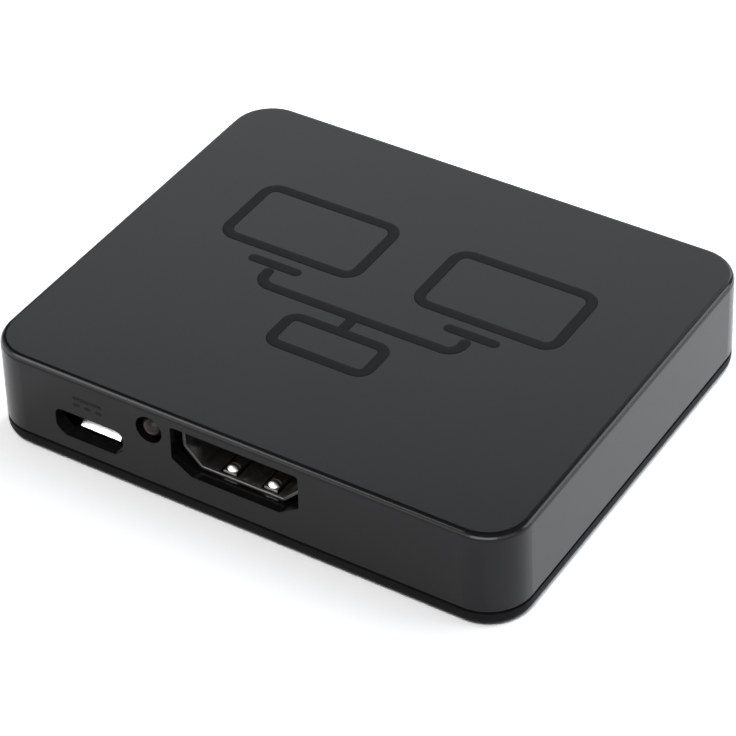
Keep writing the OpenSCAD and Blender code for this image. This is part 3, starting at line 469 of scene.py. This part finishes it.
def marks_mesh(name, strips, carry):
    """One mesh of many strips; carry turns flat x, y and height into the object's own place. Points that
    fall together, where a strip ends or closes, become one, and triangles that lose a corner are dropped."""
    points, quads, first = [], [], 0
    for strip in strips:
        rows, columns = strip.shape[:2]
        index = first + np.arange(rows * columns).reshape(rows, columns)
        beside = np.roll(index, -1, axis=1)
        quads.append(np.stack([index[:-1], index[1:], beside[1:], beside[:-1]], -1).reshape(-1, 4))
        points.append(strip.reshape(-1, 3))
        first += rows * columns
    points = np.concatenate(points)
    _, kept, joined = np.unique(points.round(6), axis=0, return_index=True, return_inverse=True)
    faces = joined.ravel()[np.concatenate(quads)][:, [[0, 1, 2], [0, 2, 3]]].reshape(-1, 3)
    faces = faces[(faces != np.roll(faces, 1, axis=1)).all(axis=1)]
    mesh = bpy.data.meshes.new(name)
    mesh.from_pydata(carry(points[kept]).tolist(), [], faces.tolist())
    mesh.polygons.foreach_set("use_smooth", np.ones(len(mesh.polygons), bool))
    mesh.materials.append(etched_finish)
    piece = bpy.data.objects.new(name, mesh)
    bpy.context.scene.collection.objects.link(piece)
    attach(piece, "root")


screen_x, screen_y, screen_w, screen_h, screen_r = 12.5, 7.6, 17.0, 10.0, 1.6
stand_y, stand_half = 0.3, 3.4
source_y, source_w, source_h, source_r = -8.6, 12.0, 5.0, 1.2
branch_top, branch_y, bend_r, stem_y = -0.4, -3.2, 1.6, -5.9
branch = np.concatenate([
    [[-screen_x, branch_top]],
    arc(bend_r - screen_x, branch_y + bend_r, bend_r, 180, 270),
    arc(screen_x - bend_r, branch_y + bend_r, bend_r, 270, 360),
    [[screen_x, branch_top]],
])
screens = [rounded_box(x, screen_y, screen_w, screen_h, screen_r) for x in (-screen_x, screen_x)]
stands = [[[x - stand_half, stand_y], [x + stand_half, stand_y]] for x in (-screen_x, screen_x)]
source = rounded_box(0, source_y, source_w, source_h, source_r)
marks_mesh(
    "roof_marks",
    [stroke(path, line_w, relief, True) for path in screens]
    + [stroke(path, line_w, relief) for path in stands]
    + [stroke(source, line_w, relief, True)]
    + [stroke(branch, line_w, relief), stroke([[0, stem_y], [0, branch_y]], line_w, relief)],
    lambda p: p * mm + [0, 0, roof_z],
)

# The walls' marks are etched in the same way, but finer: a direct-current sign over the inlet, and a
# number beside each output. They lie on planes that lean in as the walls do.
fine_w, lean = 0.46, 0.0002
wall_y, seam_z = cad_box[1].y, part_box("top_shell")[0].z
slope = lean / (roof_z - seam_z)
inlet_x = (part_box("power_inlet_shell")[0].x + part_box("power_inlet_shell")[1].x) / 2
inlet_z, number_x, number_z = 0.0091, 0.0042, 0.0078


def on_wall(side, x, z):
    """Carries flat points to the front wall (side -1) or the back wall (side 1), around a middle x and z."""
    def carry(p):
        up = z + p[:, 1] * mm
        out = wall_y - slope * (up - seam_z) + p[:, 2] * mm
        return np.stack([x - side * p[:, 0] * mm, side * out, up], -1)
    return carry


bar_half, dash_half, dash_pitch, bar_y = 1.9, 0.45, 1.45, 0.45
number_half, bowl_y, bowl_r, foot_x = 1.1, 0.48, 0.62, 0.68
dashes = [[[x - dash_half, -bar_y], [x + dash_half, -bar_y]] for x in (-dash_pitch, 0, dash_pitch)]
marks_mesh(
    "inlet_mark",
    [stroke(path, fine_w, relief) for path in ([[-bar_half, bar_y], [bar_half, bar_y]], *dashes)],
    on_wall(-1, inlet_x, inlet_z),
)
one = [[[0, -number_half], [0, number_half]], [[0, 1.05], [-0.5, 0.65]]]
marks_mesh("output_1_mark", [stroke(path, fine_w, relief) for path in one], on_wall(1, number_x, number_z))
two = [
    np.concatenate([arc(0, bowl_y, bowl_r, 165, -35), [[-bowl_r, -number_half]]]),
    [[-bowl_r, -number_half], [foot_x, -number_half]],
]
marks_mesh("output_2_mark", [stroke(path, fine_w, relief) for path in two], on_wall(1, -number_x, number_z))

# The studio: a pale floor that the object stands on, in a white surround that darkens towards the
# ceiling and the back. The floor keeps the object's shadow, and is a brighter white where it is seen
# or mirrored.
floor_half, paper_white, seen_white = 3.0, 0.9, 1.68
ambient_level, dark_level, white_level = 0.21, 0.1, 1.0
ceiling_fade, rear_fade = (0.85, 0.25), (0.4, -0.3)


def seen(wire):
    """1 for rays from the camera and for reflected or refracted ones, 0 for the rest."""
    rays = ("Is Camera Ray", "Is Glossy Ray", "Is Transmission Ray")
    camera_ray, glossy_ray, through_ray = [wire.node("ShaderNodeLightPath", {}, {}, ray) for ray in rays]
    return (camera_ray + glossy_ray + through_ray) > 0.5


def mixed(factor, first, second):
    """The shader that runs from the first, where the factor is 0, to the second, where it is 1."""
    return factor.node("ShaderNodeMixShader", {}, {"Fac": factor, 1: first, 2: second})


corners = floor_half * np.array([[-1, -1, 0], [1, -1, 0], [1, 1, 0], [-1, 1, 0]])
floor_mesh = bpy.data.meshes.new("floor")
floor_mesh.from_pydata(corners.tolist(), [], [(0, 1, 2, 3)])
floor = bpy.data.objects.new("floor", floor_mesh)
bpy.context.scene.collection.objects.link(floor)
floor_finish, place = new_finish("pale_floor")
paper, bright = [
    place.node("ShaderNodeBsdfDiffuse", {}, {"Color": (tone, tone, tone, 1.0)})
    for tone in (paper_white, seen_white)
]
place.node("ShaderNodeOutputMaterial", {}, {"Surface": mixed(seen(place), paper, bright)})
floor_mesh.materials.append(floor_finish)

world = bpy.data.worlds.new("studio")
bpy.context.scene.world = world
world.use_nodes = True
world.node_tree.nodes.clear()
air = Wire(world.node_tree).node("ShaderNodeTexCoord", {}, {}, "Generated")
ambient, dark, pale = [
    air.node("ShaderNodeBackground", {}, {"Color": (1.0, 1.0, 1.0, 1.0), "Strength": strength})
    for strength in (ambient_level, dark_level, white_level)
]
surround = mixed(air.part("Z").ease(*ceiling_fade) * air.part("Y").ease(*rear_fade), dark, pale)
air.node("ShaderNodeOutputWorld", {}, {"Surface": mixed(seen(air), ambient, surround)})

# The lamps stand round the object, out of the camera's sight. Three give the soft light and the
# shadow. The cards give none, and show only as reflections in the roof, the edges and the metal.
white, cool, cooler = (1.0, 1.0, 1.0), (0.93, 0.965, 1.0), (0.86, 0.93, 1.0)


def lamp(name, direction, colour, kind, reach, mirrored, lit=(), **settings):
    """A lamp in that direction from the object's middle, facing it. A mirrored one shows only as a
    reflection, and any other gives only soft light. Where nodes are named, it reaches those alone."""
    away = np.array(direction) / np.linalg.norm(direction)
    across = np.cross([0, 0, 1.0], away)
    across /= np.linalg.norm(across)
    made = bpy.data.lights.new(name, kind)
    made.color = colour
    for key, value in settings.items():
        setattr(made, key, value)
    held = bpy.data.objects.new(name, made)
    held.matrix_world = placed([across, np.cross(away, across), away], away * reach + aim)
    held.visible_camera = False
    held.visible_glossy = mirrored
    held.visible_diffuse = not mirrored
    if lit:
        held.light_linking.receiver_collection = bpy.data.collections.new(name)
        for node in lit:
            held.light_linking.receiver_collection.objects.link(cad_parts[node])
    bpy.context.scene.collection.objects.link(held)


lamp("key_lamp", (0.557, 0.321, 0.766), cooler, "AREA", 0.2, False,
     shape="SQUARE", size=0.15, energy=0.145)
lamp("front_lamp", (0.087, -0.492, 0.866), white, "SUN", 1.0, False,
     energy=1.24, angle=np.radians(20))
lamp("rear_lamp", (0.0, 0.766, 0.643), cool, "SUN", 1.0, False,
     energy=0.92, angle=np.radians(15))
lamp("back_card", (-0.25, 0.81, 0.51), cool, "AREA", 0.6, True,
     shape="RECTANGLE", size=0.68, size_y=0.37, energy=1.5)
lamp("side_card", (0.74, 0.5, 0.3), cool, "AREA", 0.22, True,
     shape="RECTANGLE", size=0.15, size_y=0.1, energy=0.085)
lamp("mouth_card", (0.35, -0.85, 0.4), white, "AREA", 0.5, True,
     shape="RECTANGLE", size=0.45, size_y=0.3, energy=0.93)
lamp("edge_card", (-0.56, -0.46, 0.7), white, "AREA", 0.7, True,
     shape="SQUARE", size=0.3, energy=0.62)
lamp("socket_card", (-0.57, -0.56, 0.6), white, "AREA", 0.7, True,
     lit=("input_socket_shell", "power_inlet_shell"), shape="SQUARE", size=0.145, energy=3.0)
